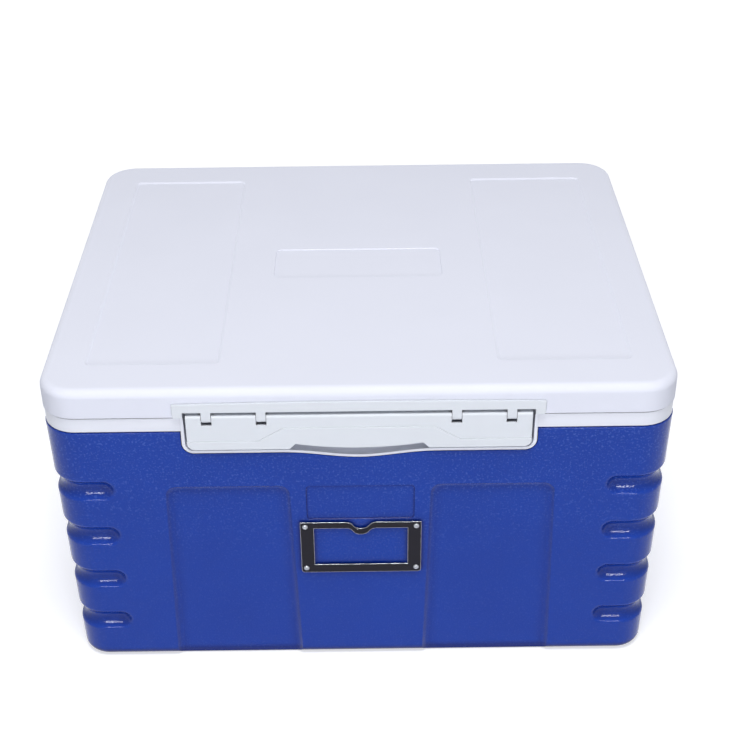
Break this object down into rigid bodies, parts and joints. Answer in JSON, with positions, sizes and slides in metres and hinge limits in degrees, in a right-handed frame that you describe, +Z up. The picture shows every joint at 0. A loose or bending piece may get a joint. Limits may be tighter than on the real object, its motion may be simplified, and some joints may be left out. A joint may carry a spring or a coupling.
{
  "type": "vaccine carrier",
  "caption": "Large insulated carrier: foam-filled chest with grooved corners, hinged lid, full-width front snap latch, card frame, side handles and a drain plug.",
  "frame": {"origin": "on the floor under the middle of the chest, in the plane of its flat base", "axes": "+Z up, -Y out of the front with the latch, +X to the right seen from the front"},
  "size_m": [0.6619, 0.5442, 0.367],
  "materials": {
    "shell_plastic": "satin",
    "white_plastic": "satin",
    "latch_plastic": "satin",
    "tray_plastic": "satin",
    "foam": "matte",
    "stainless": "satin",
    "seal_rubber": "matte",
    "grip_rubber": "matte"
  },
  "bodies": {
    "chest": {"outer_shell": "shell_plastic", "body_foam": "foam", "inner_liner": "white_plastic", "latch_housing": "white_plastic", "label_frame": "stainless", "label_frame_screws": "stainless", "drain_tube": "white_plastic", "drain_nut": "white_plastic", "drain_gasket": "seal_rubber", "hinge_body_leaf_right": "stainless", "hinge_body_leaf_left": "stainless", "hinge_body_screws": "stainless", "hinge_pins": "stainless", "handle_cup_right": "tray_plastic", "handle_cup_left": "tray_plastic", "handle_cup_screws_right": "stainless", "handle_cup_screws_left": "stainless", "handle_pins_right": "stainless", "handle_pins_left": "stainless"},
    "lid": {"lid_shell": "white_plastic", "lid_liner": "white_plastic", "lid_foam": "foam", "lid_gasket": "seal_rubber", "latch_strip": "latch_plastic", "latch_strip_screws": "stainless", "latch_hinge_pins": "stainless", "hinge_lid_leaf_right": "stainless", "hinge_lid_leaf_left": "stainless", "hinge_lid_screws": "stainless"},
    "latch": {"latch_flap": "latch_plastic"},
    "handle_right": {"handle_bail_right": "tray_plastic", "handle_grip_right": "grip_rubber"},
    "handle_left": {"handle_bail_left": "tray_plastic", "handle_grip_left": "grip_rubber"},
    "drain_plug": {"drain_plug": "white_plastic", "drain_plug_seal": "seal_rubber"}
  },
  "joints": [
    {"name": "lid_hinge", "type": "hinge", "parent": "chest", "child": "lid", "pos_m": [0, 0.2705, 0.3341], "axis": [-1, 0, 0], "range_deg": [0, 100]},
    {"name": "latch_hinge", "type": "hinge", "parent": "lid", "child": "latch", "pos_m": [0, -0.2625, 0.3327], "axis": [-1, 0, 0], "range_deg": [0, 105]},
    {"name": "handle_right_swing", "type": "hinge", "parent": "chest", "child": "handle_right", "pos_m": [0.31595, 0, 0.26616], "axis": [0, -1, 0], "range_deg": [0, 110]},
    {"name": "handle_left_swing", "type": "hinge", "parent": "chest", "child": "handle_left", "pos_m": [-0.31595, 0, 0.26616], "axis": [0, 1, 0], "range_deg": [0, 110]},
    {"name": "drain_plug_out", "type": "slide", "parent": "chest", "child": "drain_plug", "axis": [1, 0, 0], "range_m": [0, 0.025]}
  ]
}
